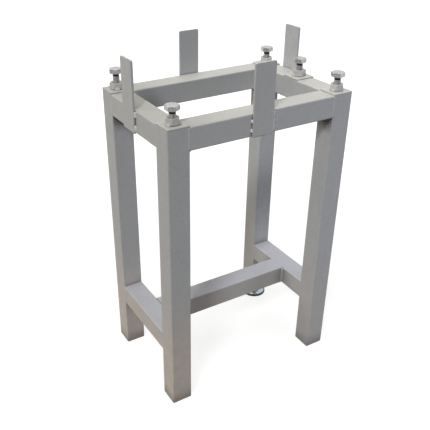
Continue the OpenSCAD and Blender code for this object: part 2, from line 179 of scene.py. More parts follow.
class Shader:
    """A material built by short calls. Its patterns lie in the piece's own coordinates."""

    def __init__(self, name):
        self.material = bpy.data.materials.new(name)
        self.material.use_nodes = True
        self.tree = self.material.node_tree
        self.tree.nodes.clear()
        self.place = self.add("ShaderNodeTexCoord").outputs["Object"]
        self.bsdf = self.add("ShaderNodeBsdfPrincipled")
        out = self.add("ShaderNodeOutputMaterial")
        self.tree.links.new(self.bsdf.outputs[0], out.inputs["Surface"])

    def add(self, kind, **values):
        node = self.tree.nodes.new(kind)
        for name, value in values.items():
            setattr(node, name, value)
        return node

    def feed(self, socket, value):
        if isinstance(value, bpy.types.NodeSocket):
            self.tree.links.new(value, socket)
        elif isinstance(value, (tuple, list)) and len(value) == 3 and socket.type == "RGBA":
            socket.default_value = (*value, 1)
        else:
            socket.default_value = value

    def noise(self, scale, detail=3, place=None):
        node = self.add("ShaderNodeTexNoise")
        self.feed(node.inputs["Vector"], place or self.place)
        self.feed(node.inputs["Scale"], scale)
        self.feed(node.inputs["Detail"], detail)
        return node.outputs[0]

    def cell_colours(self, scale):
        node = self.add("ShaderNodeTexVoronoi")
        self.feed(node.inputs["Vector"], self.place)
        self.feed(node.inputs["Scale"], scale)
        return node.outputs["Color"]

    def span(self, value, low, high, to_low=0.0, to_high=1.0):
        """Value's way from low to high, held between to_low and to_high."""
        node = self.add("ShaderNodeMapRange")
        for key, given in (("Value", value), ("From Min", low), ("From Max", high),
                           ("To Min", to_low), ("To Max", to_high)):
            self.feed(node.inputs[key], given)
        return node.outputs[0]

    def both(self, a, b):
        """Product of two shares."""
        return self.math("MULTIPLY", a, b)

    def math(self, operation, a, b):
        node = self.add("ShaderNodeMath", operation=operation)
        self.feed(node.inputs[0], a)
        self.feed(node.inputs[1], b)
        return node.outputs[0]

    def mix(self, share, a, b):
        node = self.add("ShaderNodeMix", data_type="RGBA")
        self.feed(node.inputs[0], share)
        self.feed(node.inputs[6], a)
        self.feed(node.inputs[7], b)
        return node.outputs[2]

    def times(self, a, b):
        """Product of two colours."""
        node = self.add("ShaderNodeMix", data_type="RGBA", blend_type="MULTIPLY")
        node.inputs[0].default_value = 1.0
        self.feed(node.inputs[6], a)
        self.feed(node.inputs[7], b)
        return node.outputs[2]

    def stretched(self, x, y, z):
        node = self.add("ShaderNodeMapping")
        self.feed(node.inputs["Vector"], self.place)
        node.inputs["Scale"].default_value = (x, y, z)
        return node.outputs[0]

    def split(self, vector):
        node = self.add("ShaderNodeSeparateXYZ")
        self.feed(node.inputs[0], vector)
        return node.outputs

    def normal(self):
        return self.add("ShaderNodeNewGeometry").outputs["Normal"]

    def openness(self, distance):
        """1 on a free face, and less where other surfaces lie within the distance."""
        node = self.add("ShaderNodeAmbientOcclusion", samples=8)
        node.inputs["Distance"].default_value = distance
        return node.outputs["AO"]

    def arris(self, radius):
        """How near a point is to a sharp outer edge, 0 to 1."""
        bevel = self.add("ShaderNodeBevel", samples=8)
        bevel.inputs["Radius"].default_value = radius
        facing = self.add("ShaderNodeVectorMath", operation="DOT_PRODUCT")
        self.feed(facing.inputs[0], bevel.outputs[0])
        self.feed(facing.inputs[1], self.normal())
        return self.span(facing.outputs["Value"], 0.996, 0.88)

    def crevice(self, distance):
        """How deep a point sits in a corner between pieces, 0 to 1."""
        return self.span(self.openness(distance), 0.75, 0.3)

    def bump(self, height, distance, strength=1.0):
        node = self.add("ShaderNodeBump")
        self.feed(node.inputs["Height"], height)
        node.inputs["Distance"].default_value = distance
        node.inputs["Strength"].default_value = strength
        return node.outputs[0]

    def finish(self, colour, roughness, normal, metallic=0.0, specular=0.5):
        self.feed(self.bsdf.inputs["Base Color"], colour)
        self.feed(self.bsdf.inputs["Roughness"], roughness)
        self.bsdf.inputs["Metallic"].default_value = metallic
        self.bsdf.inputs["Specular IOR Level"].default_value = specular
        self.feed(self.bsdf.inputs["Normal"], normal)
        return self.material


BEAD_LUMPS = 0.9  # enamel that is lumpier than this lies on a weld bead


def tinted(tint, *factors):
    """The tint times one factor, or one for each channel."""
    return tuple(c * f for c, f in zip(tint, factors * 3 if len(factors) == 1 else factors))


def grey_enamel(name, tint, lumpy, corner_shading=1.0, gap_shadow_share=1.0, shadow_line_height=None):
    """Sprayed light grey enamel: orange peel, faint clouds, dust low down, soot, scuffs and a few chips, and
    painted light and shade: lighter to the right and on the tops, warm bounce low down, shade in corners and
    under the rails, black shadow lines in open joints and on a lower edge, and a highlight on the arrises.

    lumpy is the depth of its waves, corner_shading the share of grime and painted shade in corners,
    gap_shadow_share that of the painted black shadow lines in open joints, and shadow_line_height the height
    of an edge that gets a painted shadow line with dust and thin paint."""
    s = Shader(name)
    place, facing = s.split(s.place), s.split(s.normal())
    height_at, upward = place["Z"], facing["Z"]
    upright = s.span(s.math("ABSOLUTE", upward, 0.0), 0.8, 0.5)
    level = s.span(upward, 0.5, 0.8)

    # painted light: the paint is darker and a little creamier towards the left and lighter towards the right, where
    # more light falls; it is also faintly clouded, streaked and mottled
    shaded_left_tint, lit_right_tint = tinted(tint, 0.87, 0.865, 0.85), tinted(tint, 1.08, 1.09, 1.11)
    colour = s.mix(s.span(place["X"], -0.24, 0.24), shaded_left_tint, lit_right_tint)
    colour = s.times(colour, s.mix(s.span(s.noise(11, 4), 0.35, 0.65), (0.955,) * 3, (1.04,) * 3))
    streaks = s.noise(60, 3, s.stretched(1, 1, 0.18))
    colour = s.mix(s.span(streaks, 0.45, 0.75, 0, 0.35), colour, tinted(tint, 0.90))
    colour = s.mix(s.span(s.noise(190, 3), 0.35, 0.65, 0, 0.6), colour, tinted(tint, 0.88))
    colour = s.mix(s.span(s.noise(430, 2), 0.35, 0.65, 0, 0.5), colour, tinted(tint, 1.10))

    # painted light: the upward faces at the top of the frame are made lighter, less so and yellower over the left
    # rail, where less light falls
    lit_top = s.both(s.span(height_at, 0.60, 0.65), level)
    top_light_by_side = s.mix(s.span(place["X"], -0.17, -0.05), (0.98, 0.95, 0.88), (1.19, 1.15, 1.07))
    colour = s.times(colour, s.mix(lit_top, (1, 1, 1), top_light_by_side))
    # painted light: the tops of the lower tubes are made lighter and bluer
    lit_ledge = s.both(s.span(height_at, 0.30, 0.25), level)
    colour = s.times(colour, s.mix(lit_ledge, (1, 1, 1), (1.07, 1.06, 1.13)))

    # dust settled low on the legs, more of it on the left, lighter and warmer than the paint, and with it painted
    # warm light bounced up from the floor
    low = s.both(s.span(height_at, 0.32, 0.08, 0, 0.95), s.span(upward, 0.7, 0.3))
    low = s.both(low, s.span(place["X"], -0.15, 0.15, 1.0, 0.35))
    colour = s.mix(s.both(low, s.span(s.noise(38, 5), 0.30, 0.66, 0.35, 1.0)), colour, (0.73, 0.625, 0.54))
    # grime and painted shade in the corners between tubes and along the welds
    grime_and_shade = s.both(s.crevice(0.010), s.span(s.noise(160, 3), 0.35, 0.6, 0.15 * corner_shading, 0.75 * corner_shading))
    colour = s.mix(grime_and_shade, colour, (0.25, 0.235, 0.215))
    # painted shadow: the black line of a joint that no weld fills
    gap_shadow = s.both(s.span(s.openness(0.005), 0.70, 0.56),
                 s.span(s.noise(90, 2), 0.35, 0.6, 0.45 * gap_shadow_share, 0.97 * gap_shadow_share))
    colour = s.mix(s.both(gap_shadow, upright), colour, (0.015, 0.0145, 0.014))
    # painted shade with soot and thin paint, near black, on the legs' faces right under the top rails
    shelter = s.openness(0.045)
    patchy = s.math("ADD", shelter, s.span(s.noise(60, 3), 0.3, 0.7, -0.03, 0.03))
    soot_and_shade = s.span(patchy, 0.94, 0.76, 0, 0.95)
    reach = s.both(s.span(height_at, RAIL_BOTTOM - 50 * MM, RAIL_BOTTOM - 35 * MM),
                   s.span(height_at, RAIL_BOTTOM + 0.5 * MM, RAIL_BOTTOM))
    colour = s.mix(s.both(s.both(soot_and_shade, reach), upright), colour, (0.022, 0.020, 0.018))
    # painted shade with dirt in the corners of the lower tubes
    corner = s.both(s.span(shelter, 0.95, 0.55, 0, 0.95 if lumpy > BEAD_LUMPS else 0.7),
                    s.span(height_at, 0.21, 0.18))
    colour = s.mix(s.both(corner, upright), colour, (0.22, 0.20, 0.18))
    if shadow_line_height is not None:
        # a painted shadow line, with dust and thin paint, along the lower edge
        off = s.math("ABSOLUTE", s.math("SUBTRACT", height_at, shadow_line_height), 0.0)
        line = s.both(s.span(off, 2.2 * MM, 1.0 * MM), s.span(s.noise(40, 3), 0.40, 0.58, 0.25, 0.9))
        colour = s.mix(line, colour, (0.035, 0.033, 0.031))
    if lumpy > BEAD_LUMPS:
        # painted shade: the undersides of the beads, which also missed the paint, are near black
        colour = s.mix(s.span(upward, -0.15, -0.5, 0, 0.9), colour, (0.03, 0.028, 0.026))

    # a painted highlight with thin worn paint on the arrises, then chips down to the steel
    edge = s.arris(0.0016)
    worn_and_highlit = s.both(edge, s.span(s.noise(240, 4), 0.36, 0.62))
    colour = s.mix(s.both(worn_and_highlit, 0.5), colour, (0.78, 0.775, 0.75))
    chips = s.both(s.span(s.noise(900, 2), 0.69, 0.72), s.span(s.noise(25, 2), 0.52, 0.62))
    rub = s.both(s.span(s.noise(420, 3), 0.66, 0.70), edge)
    bare = s.math("MAXIMUM", chips, rub)
    colour = s.mix(s.both(bare, 0.75), colour, (0.17, 0.155, 0.14))
    # long faint scratches
    lines = s.noise(35, 1, s.stretched(1.0, 1.0, 26))
    scratch = s.both(s.span(lines, 0.735, 0.75), s.span(s.noise(7, 1), 0.5, 0.6))
    colour = s.mix(s.both(scratch, 0.35), colour, (0.80, 0.80, 0.78))

    peel = s.math("ADD", s.both(s.noise(900, 2), 0.4), s.both(s.noise(120, 2), lumpy))
    peel = s.math("SUBTRACT", peel, s.both(bare, 0.7))
    roughness = s.math("ADD", s.span(s.noise(70, 3), 0.3, 0.7, 0.40, 0.54), s.both(bare, 0.2))
    return s.finish(colour, roughness, s.bump(peel, 0.00012, 0.8), specular=0.30)


def dipped_zinc():
    """Hot-dipped bolt zinc: dull, clouded, with spangle, a painted glint with rubbed zinc on the sharp edges, grime
    and painted shade in the thread and a few brown stains.
    """
    s = Shader("dipped_zinc")
    spangle = s.cell_colours(520)
    grey = s.add("ShaderNodeRGBToBW")
    s.feed(grey.inputs[0], spangle)
    colour = s.mix(s.span(s.noise(130, 4), 0.35, 0.65), (0.45, 0.455, 0.46), (0.57, 0.57, 0.565))
    colour = s.mix(s.both(grey.outputs[0], 0.18), colour, (0.70, 0.70, 0.70))
    stain = s.span(s.noise(210, 3), 0.58, 0.70, 0, 0.5)
    colour = s.mix(stain, colour, (0.30, 0.255, 0.205))
    # painted glint with rubbed zinc on the sharp edges
    edge_glint = s.both(s.arris(0.0006), s.span(s.noise(700, 2), 0.4, 0.6))
    colour = s.mix(s.both(edge_glint, 0.7), colour, (0.84, 0.84, 0.83))
    # grime and painted shade in the hollows of the thread
    grime_and_shade = s.both(s.crevice(0.002), s.span(s.noise(500, 2), 0.3, 0.6, 0.3, 0.8))
    colour = s.mix(grime_and_shade, colour, (0.10, 0.095, 0.09))
    height = s.math("ADD", s.noise(1400, 3), s.both(s.noise(330, 2), 1.6))
    roughness = s.span(s.noise(400, 3), 0.3, 0.7, 0.24, 0.38)
    return s.finish(colour, roughness, s.bump(height, 0.00006), metallic=0.62, specular=0.4)


def shaded_oiled_steel():
    """The bare neck under a screw's head: black with old oil and painted shade, a little dust in it."""
    s = Shader("shaded_oiled_steel")
    rings = s.noise(40, 2, s.stretched(3, 3, 60))
    colour = s.mix(s.span(rings, 0.4, 0.7), (0.010, 0.010, 0.011), (0.030, 0.029, 0.028))
    colour = s.mix(s.span(s.noise(700, 3), 0.58, 0.70, 0, 0.35), colour, (0.12, 0.11, 0.10))
    return s.finish(colour, s.span(s.noise(300, 3), 0.3, 0.7, 0.42, 0.62), s.bump(rings, 0.00003), specular=0.35)


def turned_steel():
    s = Shader("turned_steel")
    rings = s.noise(30, 2, s.stretched(2, 2, 160))
    colour = s.mix(s.span(rings, 0.3, 0.7), (0.42, 0.42, 0.43), (0.58, 0.58, 0.59))
    colour = s.mix(s.span(s.noise(180, 4), 0.56, 0.72, 0, 0.6), colour, (0.22, 0.15, 0.10))
    return s.finish(colour, s.span(rings, 0.3, 0.7, 0.28, 0.45), s.bump(rings, 0.00005), metallic=0.9)


def polished_steel(centre):
    """Spun pad: fine rings round the hub and light smears."""
    s = Shader("polished_steel")
    shift = s.add("ShaderNodeVectorMath", operation="SUBTRACT")
    s.feed(shift.inputs[0], s.place)
    shift.inputs[1].default_value = centre
    flat = s.add("ShaderNodeVectorMath", operation="MULTIPLY")
    s.feed(flat.inputs[0], shift.outputs[0])
    flat.inputs[1].default_value = (1, 1, 0)
    radius = s.add("ShaderNodeVectorMath", operation="LENGTH")
    s.feed(radius.inputs[0], flat.outputs[0])
    spun = s.add("ShaderNodeTexNoise", noise_dimensions="1D")
    s.feed(spun.inputs["W"], radius.outputs["Value"])
    s.feed(spun.inputs["Scale"], 2600)
    smear = s.noise(90, 4)
    colour = s.mix(s.span(smear, 0.4, 0.68), (0.43, 0.48, 0.55), (0.33, 0.37, 0.43))
    # dust and painted shade in the crevices
    dust = s.both(s.crevice(0.006), 0.6)
    colour = s.mix(dust, colour, (0.24, 0.22, 0.20))
    roughness = s.math("ADD", s.span(smear, 0.35, 0.7, 0.20, 0.34), s.both(spun.outputs[0], 0.08))
    return s.finish(colour, roughness, s.bump(spun.outputs[0], 0.00002, 0.6), metallic=1.0)


def moulded_rubber():
    s = Shader("moulded_rubber")
    dust = s.span(s.noise(260, 4), 0.42, 0.7, 0, 0.5)
    colour = s.mix(dust, (0.13, 0.133, 0.14), (0.25, 0.245, 0.24))
    roughness = s.span(s.noise(500, 2), 0.3, 0.7, 0.62, 0.85)
    return s.finish(colour, roughness, s.bump(s.noise(1500, 3), 0.0001), specular=0.3)


# ---- mesh helpers ----

def make(name, shells, material, body, stands_for=(), sharp=38, bevel=0.0):
    """One piece from (points, faces) shells, rounded along its sharp edges."""
    points, faces = [], []
    for shell_points, shell_faces in shells:
        start = len(points)
        points += [tuple(p) for p in shell_points]
        faces += [tuple(start + i for i in face) for face in shell_faces]
    mesh = bpy.data.meshes.new(name)
    mesh.from_pydata(points, [], faces)
    work = bmesh.new()
    work.from_mesh(mesh)
    bmesh.ops.remove_doubles(work, verts=work.verts, dist=2e-6)
    bmesh.ops.dissolve_degenerate(work, edges=work.edges, dist=1e-7)
    bmesh.ops.recalc_face_normals(work, faces=work.faces)
    if bevel:
        edges = [e for e in work.edges if len(e.link_faces) == 2 and e.calc_face_angle(0) > math.radians(sharp)]
        bmesh.ops.bevel(work, geom=edges, offset=bevel, segments=2, profile=0.6, affect="EDGES", clamp_overlap=True)
    work.to_mesh(mesh)
    work.free()
    for polygon in mesh.polygons:
        polygon.use_smooth = True
    mesh.set_sharp_from_angle(angle=math.radians(sharp))
    piece = bpy.data.objects.new(name, mesh)
    bpy.context.scene.collection.objects.link(piece)
    mesh.materials.append(material)
    if bevel:
        weighted = piece.modifiers.new("normals", "WEIGHTED_NORMAL")
        weighted.keep_sharp = True
    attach(piece, body)
    if stands_for:
        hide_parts(*stands_for)
    return piece


def skin(rings, close_first=False, close_last=False):
    """Quads between closed rings of equally many points."""
    count = len(rings[0])
    points = [p for ring in rings for p in ring]
    faces = []
    for i in range(len(rings) - 1):
        for j in range(count):
            k = (j + 1) % count
            faces.append((i * count + j, i * count + k, (i + 1) * count + k, (i + 1) * count + j))
    if close_first:
        faces.append(tuple(reversed(range(count))))
    if close_last:
        faces.append(tuple(range((len(rings) - 1) * count, len(rings) * count)))
    return points, faces


def middle(node):
    low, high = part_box(node)
    return (low + high) / 2, low, high


def ring(centre, radii, z, turn=0.0):
    """Ring round the vertical through centre, one radius for each equal step of angle."""
    count = len(radii)
    return [Vector((centre.x + r * math.cos(turn + 2 * math.pi * i / count),
                    centre.y + r * math.sin(turn + 2 * math.pi * i / count),
                    z[i] if isinstance(z, list) else z)) for i, r in enumerate(radii)]


def hexagon_radii(flats, per_facet):
    """Distance to a hexagon's sides at equal steps of angle, from one corner on."""
    steps = [60 * i / per_facet - 30 for i in range(per_facet)]
    return [flats / 2 / math.cos(math.radians(a)) for a in steps] * 6


CHAMFER = math.tan(math.radians(30))


def chamfered(radii, circle, z, way):
    """Heights of a hexagon's edge where a cone cuts it. way is negative under a top face, positive over a
    bottom one, and its size is the cone's steepness in units of CHAMFER."""
    return [z + way * max(0.0, r - circle) * CHAMFER for r in radii]


def lathe(centre, profile, count=64):
    """Turned shell from (radius, height) points."""
    return skin([ring(centre, [max(r, 1e-5)] * count, z) for r, z in profile])


THREAD_DEPTH = 0.6134  # of the pitch
END_TAPER = 0.1 * MM  # how far a thread's end goes below its root


def core(major, pitch):
    return major - THREAD_DEPTH * pitch - END_TAPER


def thread(centre, major, pitch, low, high, start=0.0, count=44):
    """Helical ridge between two heights, chamfered at both ends."""
    root = major - THREAD_DEPTH * pitch
    profile = ((0.0, root), (0.22, root), (0.56, major), (0.69, major))
    turns = math.ceil((high - low) / pitch) + 2
    total = turns * count
    points, faces = [], []
    for step in range(total + 1):
        angle = start + 2 * math.pi * step / count
        for share, radius in profile:
            z = low + pitch * (step / count + share - 1.0)
            z = min(max(z, low), high)
            radius = min(radius, core(major, pitch) + min(z - low, high - z))
            points.append((centre.x + radius * math.cos(angle), centre.y + radius * math.sin(angle), z))
    width = len(profile)
    for step in range(total):
        for j in range(width - 1):
            a = step * width + j
            faces.append((a, a + 1, a + width + 1, a + width))
        if step + count + 1 <= total:
            a, b = step * width + width - 1, (step + count) * width
            faces.append((a, b, b + width, a + width))
    return points, faces


def disc(centre, radius, z, count=44):
    return [Vector((centre.x, centre.y, z))] + ring(centre, [radius] * count, z), \
        [(0, 1 + i, 1 + (i + 1) % count) for i in range(count)]


# ---- fasteners ----

JACK_FLATS, JACK_HEAD, JACK_NECK = 27 * MM, 10.3 * MM, 6.4 * MM  # across flats, head height, plain neck
JACK_MAJOR, JACK_PITCH = 7.95 * MM, 2.31 * MM  # the thread's outer radius and its rise in one turn
# degrees that each hexagon is turned
HEAD_TURNS = {"front_left": 29, "front_right": 8, "rear_left": 7, "rear_right": 12, "right_middle": 1}
NUT_TURNS = {"front_left": 0, "front_right": -12, "rear_left": -15, "rear_right": -10, "right_middle": 20}
PER_FACET = 10


def hexagon_head(centre, low, high, flats, turn):
    """Bolt head on a low washer face, its top chamfered and very slightly dished."""
    radii = hexagon_radii(flats, PER_FACET)
    circle, washer = 0.487 * flats, low + 0.6 * MM

    def round_at(share, z):
        return ring(centre, [share * circle] * len(radii), z, turn)

    return skin([round_at(0.62, low), round_at(1, low), round_at(1, washer), ring(centre, radii, washer, turn),
                 ring(centre, radii, chamfered(radii, circle, high, -0.75), turn), round_at(1, high),
                 round_at(0.6, high - 0.12 * MM), round_at(0.2, high - 0.18 * MM)], close_last=True)


def hexagon_nut(centre, low, high, flats, major, turn):
    radii = hexagon_radii(flats, PER_FACET)
    circle, bore, countersink = 0.475 * flats, major + 0.08 * MM, 1.1 * MM

    def round_at(radius, z):
        return ring(centre, [radius] * len(radii), z, turn)

    return skin([round_at(bore, low), round_at(circle, low),
                 ring(centre, radii, chamfered(radii, circle, low, 1), turn),
                 ring(centre, radii, chamfered(radii, circle, high, -1), turn), round_at(circle, high),
                 round_at(bore + countersink, high), round_at(bore, high - countersink), round_at(bore, low)])


def make_screws(material, shaded_neck_finish):
    for corner, degrees in HEAD_TURNS.items():
        node = "jack_screw_" + corner
        centre, low, high = middle(node)
        turn = math.radians(degrees)
        neck = high.z - JACK_HEAD
        shells = [hexagon_head(centre, neck, high.z, JACK_FLATS, turn),
                  thread(centre, JACK_MAJOR, JACK_PITCH, low.z, neck - JACK_NECK, turn),
                  disc(centre, core(JACK_MAJOR, JACK_PITCH), low.z)]
        # the black neck under the head: painted shade with old oil on bare steel
        relief = [(7.9 * MM, neck), (7.3 * MM, neck - 0.5 * MM), (7.1 * MM, neck - 0.9 * MM),
                  (7.1 * MM, neck - JACK_NECK), (6.7 * MM, neck - JACK_NECK - 0.6 * MM)]
        make("jack_neck_" + corner + "_piece", [lathe(centre, relief)], shaded_neck_finish, "screw_" + corner)
        make(node + "_piece", shells, material, "screw_" + corner, (node,), bevel=0.15 * MM, sharp=50)


def make_nuts(material):
    for corner, degrees in NUT_TURNS.items():
        node = "jack_nut_" + corner
        centre, low, high = middle(node)
        shell = hexagon_nut(centre, low.z, high.z, JACK_FLATS, JACK_MAJOR, math.radians(degrees))
        make(node + "_piece", [shell], material, "frame", (node,), bevel=0.25 * MM)


# ---- welds ----

def weld_bead(start, end, side_a, side_b, leg, seed, ripple=1.9 * MM):
    """Rippled fillet from start to end, spread along side_a and side_b from the corner line."""
    random_source = random.Random(seed)
    along = end - start
    length = along.length
    along.normalize()
    steps = max(6, int(length / (ripple / 4)))
    phase, drift = random_source.random(), random_source.random() * 40
    rings = []
    for i in range(steps + 1):
        s = length * i / steps
        taper = min(1.0, (min(s, length - s) + 0.12 * leg) / (0.9 * leg))
        taper = math.sin(min(1.0, taper) * math.pi / 2) ** 0.6
        wander = noise.noise(Vector((s * 160 + drift, drift, 0.3)))
        points = [start + along * s - (side_a + side_b) * 0.15 * MM]
        for j in range(8):
            angle = math.pi / 2 * j / 7
            lag = 0.45 * ripple * math.sin(2 * angle)
            wave = abs(math.sin(math.pi * ((s + lag) / ripple + phase)))
            reach = leg * taper * (0.90 - 0.10 * math.sin(2 * angle) + 0.09 * wander + 0.075 * wave)
            points.append(start + along * s + (side_a * math.cos(angle) + side_b * math.sin(angle)) * min(reach, leg))
        rings.append(points)
    return skin(rings, True, True)


GUIDE_LEG, TUBE_LEG, TACK_LEG = 4 * MM, 5 * MM, 4.5 * MM  # leg lengths of the fillets
WIDE_BEAD = 1.1  # extra share of width of the front guide's right bead


def make_guide_welds(material):
    bottom = RAIL_BOTTOM + CORNER
    run = TUBE - 2 * CORNER
    # shares of the run that carry weld on each side of a guide
    shares = {"front": (((0, 1),), ((0.14, 0.34), (0.60, 0.80)))}
    stitches = (((0, 0.34), (0.68, 1)), ((0, 0.34), (0.68, 1)))
    shells = []
    faces = {"front": (X, -Y), "rear": (-X, Y), "left": (-Y, -X), "right": (Y, X)}
    for name, (right, out) in faces.items():
        _, low, high = middle("guide_" + name)
        centre = (low + high) / 2
        face = centre - out * abs((high - low).dot(out)) / 2
        half = abs((high - low).dot(right)) / 2
        for side, parts in zip((1, -1), shares.get(name, stitches)):
            for a, b in parts:
                corner = Vector((face.x, face.y, 0)) + right * side * half
                bead, quads = weld_bead(corner + Z * (bottom + a * run), corner + Z * (bottom + b * run),
                                        right * side, out, GUIDE_LEG, len(shells) + 11)
                if name == "front" and side == 1:
                    # this bead is laid wide over the rail
                    bead = [p + right * WIDE_BEAD * (p - corner).dot(right) for p in bead]
                shells.append((bead, quads))
    make("guide_welds_piece", shells, material, "frame", ("guide_welds",), sharp=70)


def joints_along(axis):
    """Ends of the tubes between the legs: corner point, way that the tube runs, way across it."""
    left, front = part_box("leg_front_left")[0].xy
    right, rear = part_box("leg_rear_right")[1].xy
    half = TUBE / 2
    if axis == "x":
        return [(Vector((x, y, 0)), way, Y) for y in (front + half, rear - half)
                for x, way in ((left + TUBE, X), (right - TUBE, -X))]
    return [(Vector((x, y, 0)), way, X) for x in (left + half, right - half)
            for y, way in ((front + TUBE, Y), (rear - TUBE, -Y))]


# how far a filled groove stands proud and its half width, in millimetres: on the front and rear faces,
# on the sides, and beside the lower rails
FRONT_GROOVE, SIDE_GROOVE, LOW_GROOVE = (0.95, 2.6), (0.15, 3.5), (0.12, 3.5)
GROOVE_INSET, GROOVE_SHIFT = 2 * MM, 1.8 * MM  # from the tube's faces, and into the leg's rounded edge


def groove_fill(start, out, across, seed, shape):
    """Low, nearly flush bead that fills the groove between a leg's rounded edge and a rail's end."""
    stand, width = shape
    end = start + Z * (TUBE - 2 * GROOVE_INSET)
    along = (end - start).normalized()
    length = (end - start).length
    drift = seed * 3.7
    rings = []
    steps = int(length / (0.5 * MM))
    for i in range(steps + 1):
        s = length * i / steps
        ends = min(1.0, min(s, length - s) / (2 * MM) + 0.2)
        wander = noise.noise(Vector((s * 120 + drift, drift, 0)))
        wave = abs(math.sin(math.pi * (s / (2.3 * MM) + drift)))
        proud = (stand + 0.22 * wander + 0.16 * wave) * MM * ends
        half = (width + 0.5 * noise.noise(Vector((s * 70, drift, 5)))) * MM
        points = [start + along * s - out * 3.4 * MM]
        for j in range(7):
            t = j / 3 - 1
            rise = proud * (1 - t * t) - 0.12 * MM * abs(t) ** 3
            points.append(start + along * s + across * half * t + out * rise)
        rings.append(points)
    return skin(rings, True, True)


def bead_under(joint, z, seed):
    corner, way, across = joint
    half = TUBE / 2 - CORNER
    return weld_bead(corner - across * half + Z * z, corner + across * half + Z * z, way, -Z, TUBE_LEG, seed)


def make_tube_welds(material):
    top = RAIL_BOTTOM
    left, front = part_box("leg_front_left")[0].xy
    right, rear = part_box("leg_rear_right")[1].xy
    shells = [bead_under(j, top, 40 + i) for i, j in enumerate(joints_along("x") + joints_along("y"))]
    for i, (x, way_x) in enumerate(((left + TUBE, X), (right - TUBE, -X))):
        for j, (y, way_y) in enumerate(((front + TUBE, Y), (rear - TUBE, -Y))):
            start = Vector((x, y, top + CORNER))
            shells.append(weld_bead(start, start + Z * (TUBE - 2 * CORNER), way_x, way_y, TUBE_LEG, 60 + 2 * i + j))
            # the grooves on the outer faces of the same corner
            for out, across, edge, shape in ((-way_y, way_x, (x, y - way_y.y * TUBE), FRONT_GROOVE),
                                             (-way_x, way_y, (x - way_x.x * TUBE, y), SIDE_GROOVE)):
                foot = Vector((*edge, top + GROOVE_INSET)) - across * GROOVE_SHIFT
                shells.append(groove_fill(foot, out, across, len(shells), shape))
    make("top_rail_welds_piece", shells, material, "frame", ("top_rail_welds",), sharp=70)

    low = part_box("lower_rail_left")[0].z
    stretcher = middle("centre_stretcher")[0]
    ends = [(Vector((left + TUBE, stretcher.y, 0)), X, Y), (Vector((right - TUBE, stretcher.y, 0)), -X, Y)]
    shells = [bead_under(j, low, 80 + i) for i, j in enumerate(joints_along("y") + ends)]
    for i, (corner, way, across) in enumerate(ends):
        for side in (1, -1):
            start = corner + across * side * TUBE / 2 + Z * (low + CORNER)
            shells.append(weld_bead(start, start + Z * (TUBE - 2 * CORNER), way, across * side, TUBE_LEG,
                                    95 + 2 * i + side))
    # the leg edges beside the lower rails are filled flush
    for x, out in ((left, -X), (left + TUBE, X), (right, X), (right - TUBE, -X)):
        for y, way in ((front + TUBE, Y), (rear - TUBE, -Y)):
            foot = Vector((x, y, low + GROOVE_INSET)) - way * GROOVE_SHIFT
            shells.append(groove_fill(foot, out, way, len(shells) + 30, LOW_GROOVE))
    make("lower_rail_welds_piece", shells, material, "frame", ("lower_rail_welds",), sharp=70)


# directions of each nut's two tack welds, in degrees from the nut's own turn
TACKS = {"front_left": (210, 330), "front_right": (30, 210), "rear_left": (90, 270), "rear_right": (30, 210),
         "right_middle": (150, 330)}
TACK_HALF, TACK_RISE = 6, 1.45  # half length in millimetres, and height over width


def make_nut_welds(material):
    shells = []
    for corner, tacks in TACKS.items():
        centre, low, high = middle("jack_nut_" + corner)
        for tack in tacks:
            angle = math.radians(NUT_TURNS[corner] + tack)
            out = Vector((math.cos(angle), math.sin(angle), 0))
            side = Vector((-out.y, out.x, 0))
            foot = Vector((centre.x, centre.y, low.z)) + out * JACK_FLATS / 2
            bead, faces = weld_bead(foot - side * TACK_HALF * MM, foot + side * TACK_HALF * MM, out, Z, TACK_LEG,
                                    120 + len(shells), 2.4 * MM)
            shells.append(([Vector((p.x, p.y, low.z + (p.z - low.z) * TACK_RISE)) for p in bead], faces))
    make("nut_welds_piece", shells, material, "frame", ("nut_welds",), sharp=70)


# ---- plates and guides ----

PLATE_CORNER, PLATE_BORE, PLATE_ROUND = 2 * MM, 8.5 * MM, 0.8 * MM  # corners, bore radius, upper edge
GUIDE_CORNER = 3 * MM


def plate_outline(half, corner, per_side=10, per_corner=5):
    """Rounded square, anticlockwise, as offsets from its middle with their outward normals."""
    outline = []
    for quarter in range(4):
        turn = Matrix.Rotation(math.pi / 2 * quarter, 2)
        for i in range(per_corner):
            a = math.pi / 2 * i / (per_corner - 1)
            n = Vector((math.cos(a), math.sin(a)))
            outline.append((turn @ (Vector((half - corner,) * 2) + n * corner), turn @ n))
        for i in range(1, per_side):
            x = (half - corner) * (1 - 2 * i / per_side)
            outline.append((turn @ Vector((x, half)), turn @ Vector((0, 1))))
    return outline


def make_cap_plates(material):
    for name in ("cap_plate_front_left", "cap_plate_front_right", "cap_plate_rear_left", "cap_plate_rear_right",
                 "pad_plate_right_middle"):
        centre, low, high = middle(name)
        outline = plate_outline((high.x - low.x) / 2, PLATE_CORNER)
        seed = centre.x * 31 + centre.y * 17

        def ring_at(inset, z, rough):
            points = []
            for offset, normal in outline:
                waver = noise.noise(Vector((offset.x * 90 + seed, offset.y * 90, z * 50))) * rough
                flat = offset - normal * (inset + abs(waver))
                points.append(Vector((centre.x + flat.x, centre.y + flat.y, z)))
            return points

        def hole_at(z):
            return [Vector((centre.x, centre.y, z)) + Vector((*offset.normalized(), 0)) * PLATE_BORE
                    for offset, _ in outline]

        rings = [hole_at(low.z), ring_at(0.3 * MM, low.z, 0.1 * MM), ring_at(0, low.z + 0.3 * MM, 0.15 * MM)]
        for i in range(5):
            a = math.pi / 2 * i / 4
            rings.append(ring_at(PLATE_ROUND * (1 - math.cos(a)), high.z - PLATE_ROUND * (1 - math.sin(a)),
                                 0.3 * MM))
        rings += [hole_at(high.z), hole_at(low.z)]
        make(name + "_piece", [skin(rings)], material, "frame", (name,), sharp=50)


